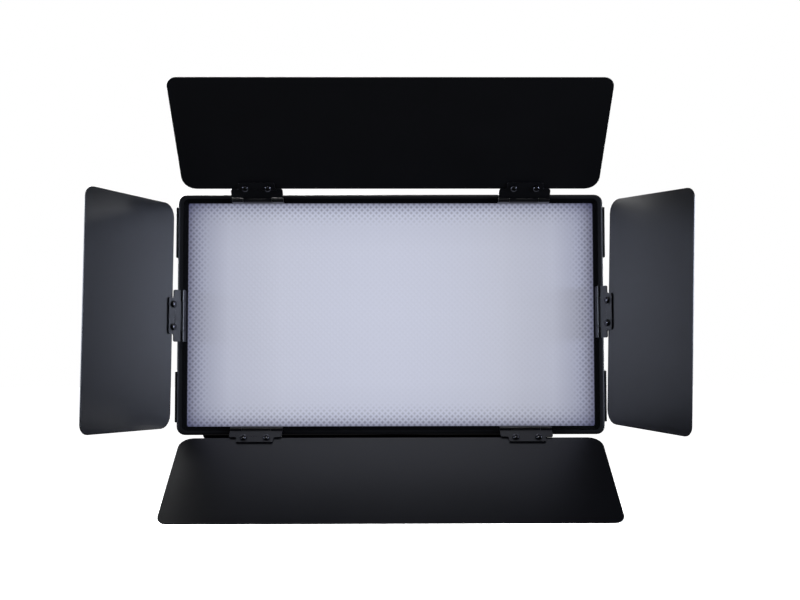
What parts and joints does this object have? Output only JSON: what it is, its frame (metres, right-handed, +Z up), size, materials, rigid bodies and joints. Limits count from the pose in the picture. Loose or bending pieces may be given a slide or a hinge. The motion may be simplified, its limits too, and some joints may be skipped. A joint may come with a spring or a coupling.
{
  "type": "led panel light",
  "caption": "Rectangular LED panel light with a prismatic diffuser, hinged barn doors on all sides, a rear power case with controls, and a tilting stand receiver.",
  "frame": {"origin": "middle of the mouth of the stand receiver's socket", "axes": "+Z up along the stand's stud; the light shines along -Y; +X to the right as seen from the front"},
  "size_m": [0.5293, 0.2179, 0.4126],
  "materials": {
    "matt_black_frame": "matt black powder coat",
    "black_sheet": "matt black coated aluminium sheet",
    "black_hinge": "satin black coated steel",
    "black_steel": "blackened steel",
    "black_plastic": "fine textured moulded plastic",
    "opal_diffuser": "prismatic diffuser sheet, unlit",
    "white_reflector": "white reflector sheet",
    "circuit_board": "solder masked board",
    "white_board": "white solder masked LED board",
    "bare_aluminium": "mill finish",
    "smoked_window": "smoked display window",
    "cast_receiver": "black anodised"
  },
  "bodies": {
    "receiver": {"stand_receiver": "cast_receiver"},
    "clamp": {"clamp_screw": "black_steel", "clamp_knob": "black_plastic"},
    "tilt_lock": {"tilt_knob": "black_plastic"},
    "head": {"tilt_bracket": "cast_receiver", "tilt_bolt": "black_steel", "rear_housing": "matt_black_frame", "front_frame": "matt_black_frame", "diffuser": "opal_diffuser", "reflector_frame": "white_reflector", "led_board": "white_board", "heat_spreader": "bare_aluminium", "power_case": "matt_black_frame", "driver_board": "circuit_board", "control_panel": "black_plastic", "display_window": "smoked_window", "switch_bezel": "black_plastic", "power_socket": "black_plastic", "left_upper_clip": "black_steel", "left_lower_clip": "black_steel", "right_upper_clip": "black_steel", "right_lower_clip": "black_steel", "top_1_frame_leaf": "black_hinge", "top_1_hinge_pin": "black_steel", "top_2_frame_leaf": "black_hinge", "top_2_hinge_pin": "black_steel", "bottom_1_frame_leaf": "black_hinge", "bottom_1_hinge_pin": "black_steel", "bottom_2_frame_leaf": "black_hinge", "bottom_2_hinge_pin": "black_steel", "left_frame_leaf": "black_hinge", "left_hinge_pin": "black_steel", "right_frame_leaf": "black_hinge", "right_hinge_pin": "black_steel"},
    "brightness": {"brightness_knob": "black_plastic"},
    "colour": {"colour_knob": "black_plastic"},
    "mode": {"mode_button": "black_plastic"},
    "switch": {"power_switch": "black_plastic"},
    "top_barn_door": {"top_door": "black_sheet", "top_1_door_leaf": "black_hinge", "top_1_screw_a": "black_steel", "top_1_screw_b": "black_steel", "top_2_door_leaf": "black_hinge", "top_2_screw_a": "black_steel", "top_2_screw_b": "black_steel"},
    "bottom_barn_door": {"bottom_door": "black_sheet", "bottom_1_door_leaf": "black_hinge", "bottom_1_screw_a": "black_steel", "bottom_1_screw_b": "black_steel", "bottom_2_door_leaf": "black_hinge", "bottom_2_screw_a": "black_steel", "bottom_2_screw_b": "black_steel"},
    "left_barn_door": {"left_door": "black_sheet", "left_door_leaf": "black_hinge", "left_screw_a": "black_steel", "left_screw_b": "black_steel"},
    "right_barn_door": {"right_door": "black_sheet", "right_door_leaf": "black_hinge", "right_screw_a": "black_steel", "right_screw_b": "black_steel"}
  },
  "joints": [
    {"name": "head_tilt", "type": "hinge", "parent": "receiver", "child": "head", "pos_m": [0, 0, 0.058], "axis": [1, 0, 0], "range_deg": [-90, 30]},
    {"name": "clamp_turn", "type": "hinge", "parent": "receiver", "child": "clamp", "pos_m": [0.018, 0, 0.02], "axis": [1, 0, 0], "range_deg": [-180, 180]},
    {"name": "tilt_lock_turn", "type": "hinge", "parent": "head", "child": "tilt_lock", "pos_m": [0.018, 0, 0.058], "axis": [1, 0, 0], "range_deg": [-180, 180]},
    {"name": "top_door_swing", "type": "hinge", "parent": "head", "child": "top_barn_door", "pos_m": [0, -0.06255, 0.314], "axis": [1, 0, 0], "range_deg": [-43.2, 135.3]},
    {"name": "bottom_door_swing", "type": "hinge", "parent": "head", "child": "bottom_barn_door", "pos_m": [0, -0.06255, 0.09], "axis": [-1, 0, 0], "range_deg": [-57.6, 119.4]},
    {"name": "left_door_swing", "type": "hinge", "parent": "head", "child": "left_barn_door", "pos_m": [-0.204, -0.06255, 0.2002], "axis": [0, 0, -1], "range_deg": [-110.4, 63.6]},
    {"name": "right_door_swing", "type": "hinge", "parent": "head", "child": "right_barn_door", "pos_m": [0.204, -0.06255, 0.2036], "axis": [0, 0, 1], "range_deg": [-108.2, 65.8]},
    {"name": "brightness_turn", "type": "hinge", "parent": "head", "child": "brightness", "pos_m": [-0.022, 0.01485, 0.116], "axis": [0, 1, 0], "range_deg": [-150, 150]},
    {"name": "colour_turn", "type": "hinge", "parent": "head", "child": "colour", "pos_m": [-0.146, 0.01485, 0.116], "axis": [0, 1, 0], "range_deg": [-150, 150]},
    {"name": "mode_press", "type": "slide", "parent": "head", "child": "mode", "axis": [0, -1, 0], "range_m": [0, 0.001], "stiffness_N_per_m": 400, "springref_m": -0.002},
    {"name": "switch_rock", "type": "hinge", "parent": "head", "child": "switch", "pos_m": [0.046, 0.01485, 0.116], "axis": [1, 0, 0], "range_deg": [-16, 0]}
  ]
}
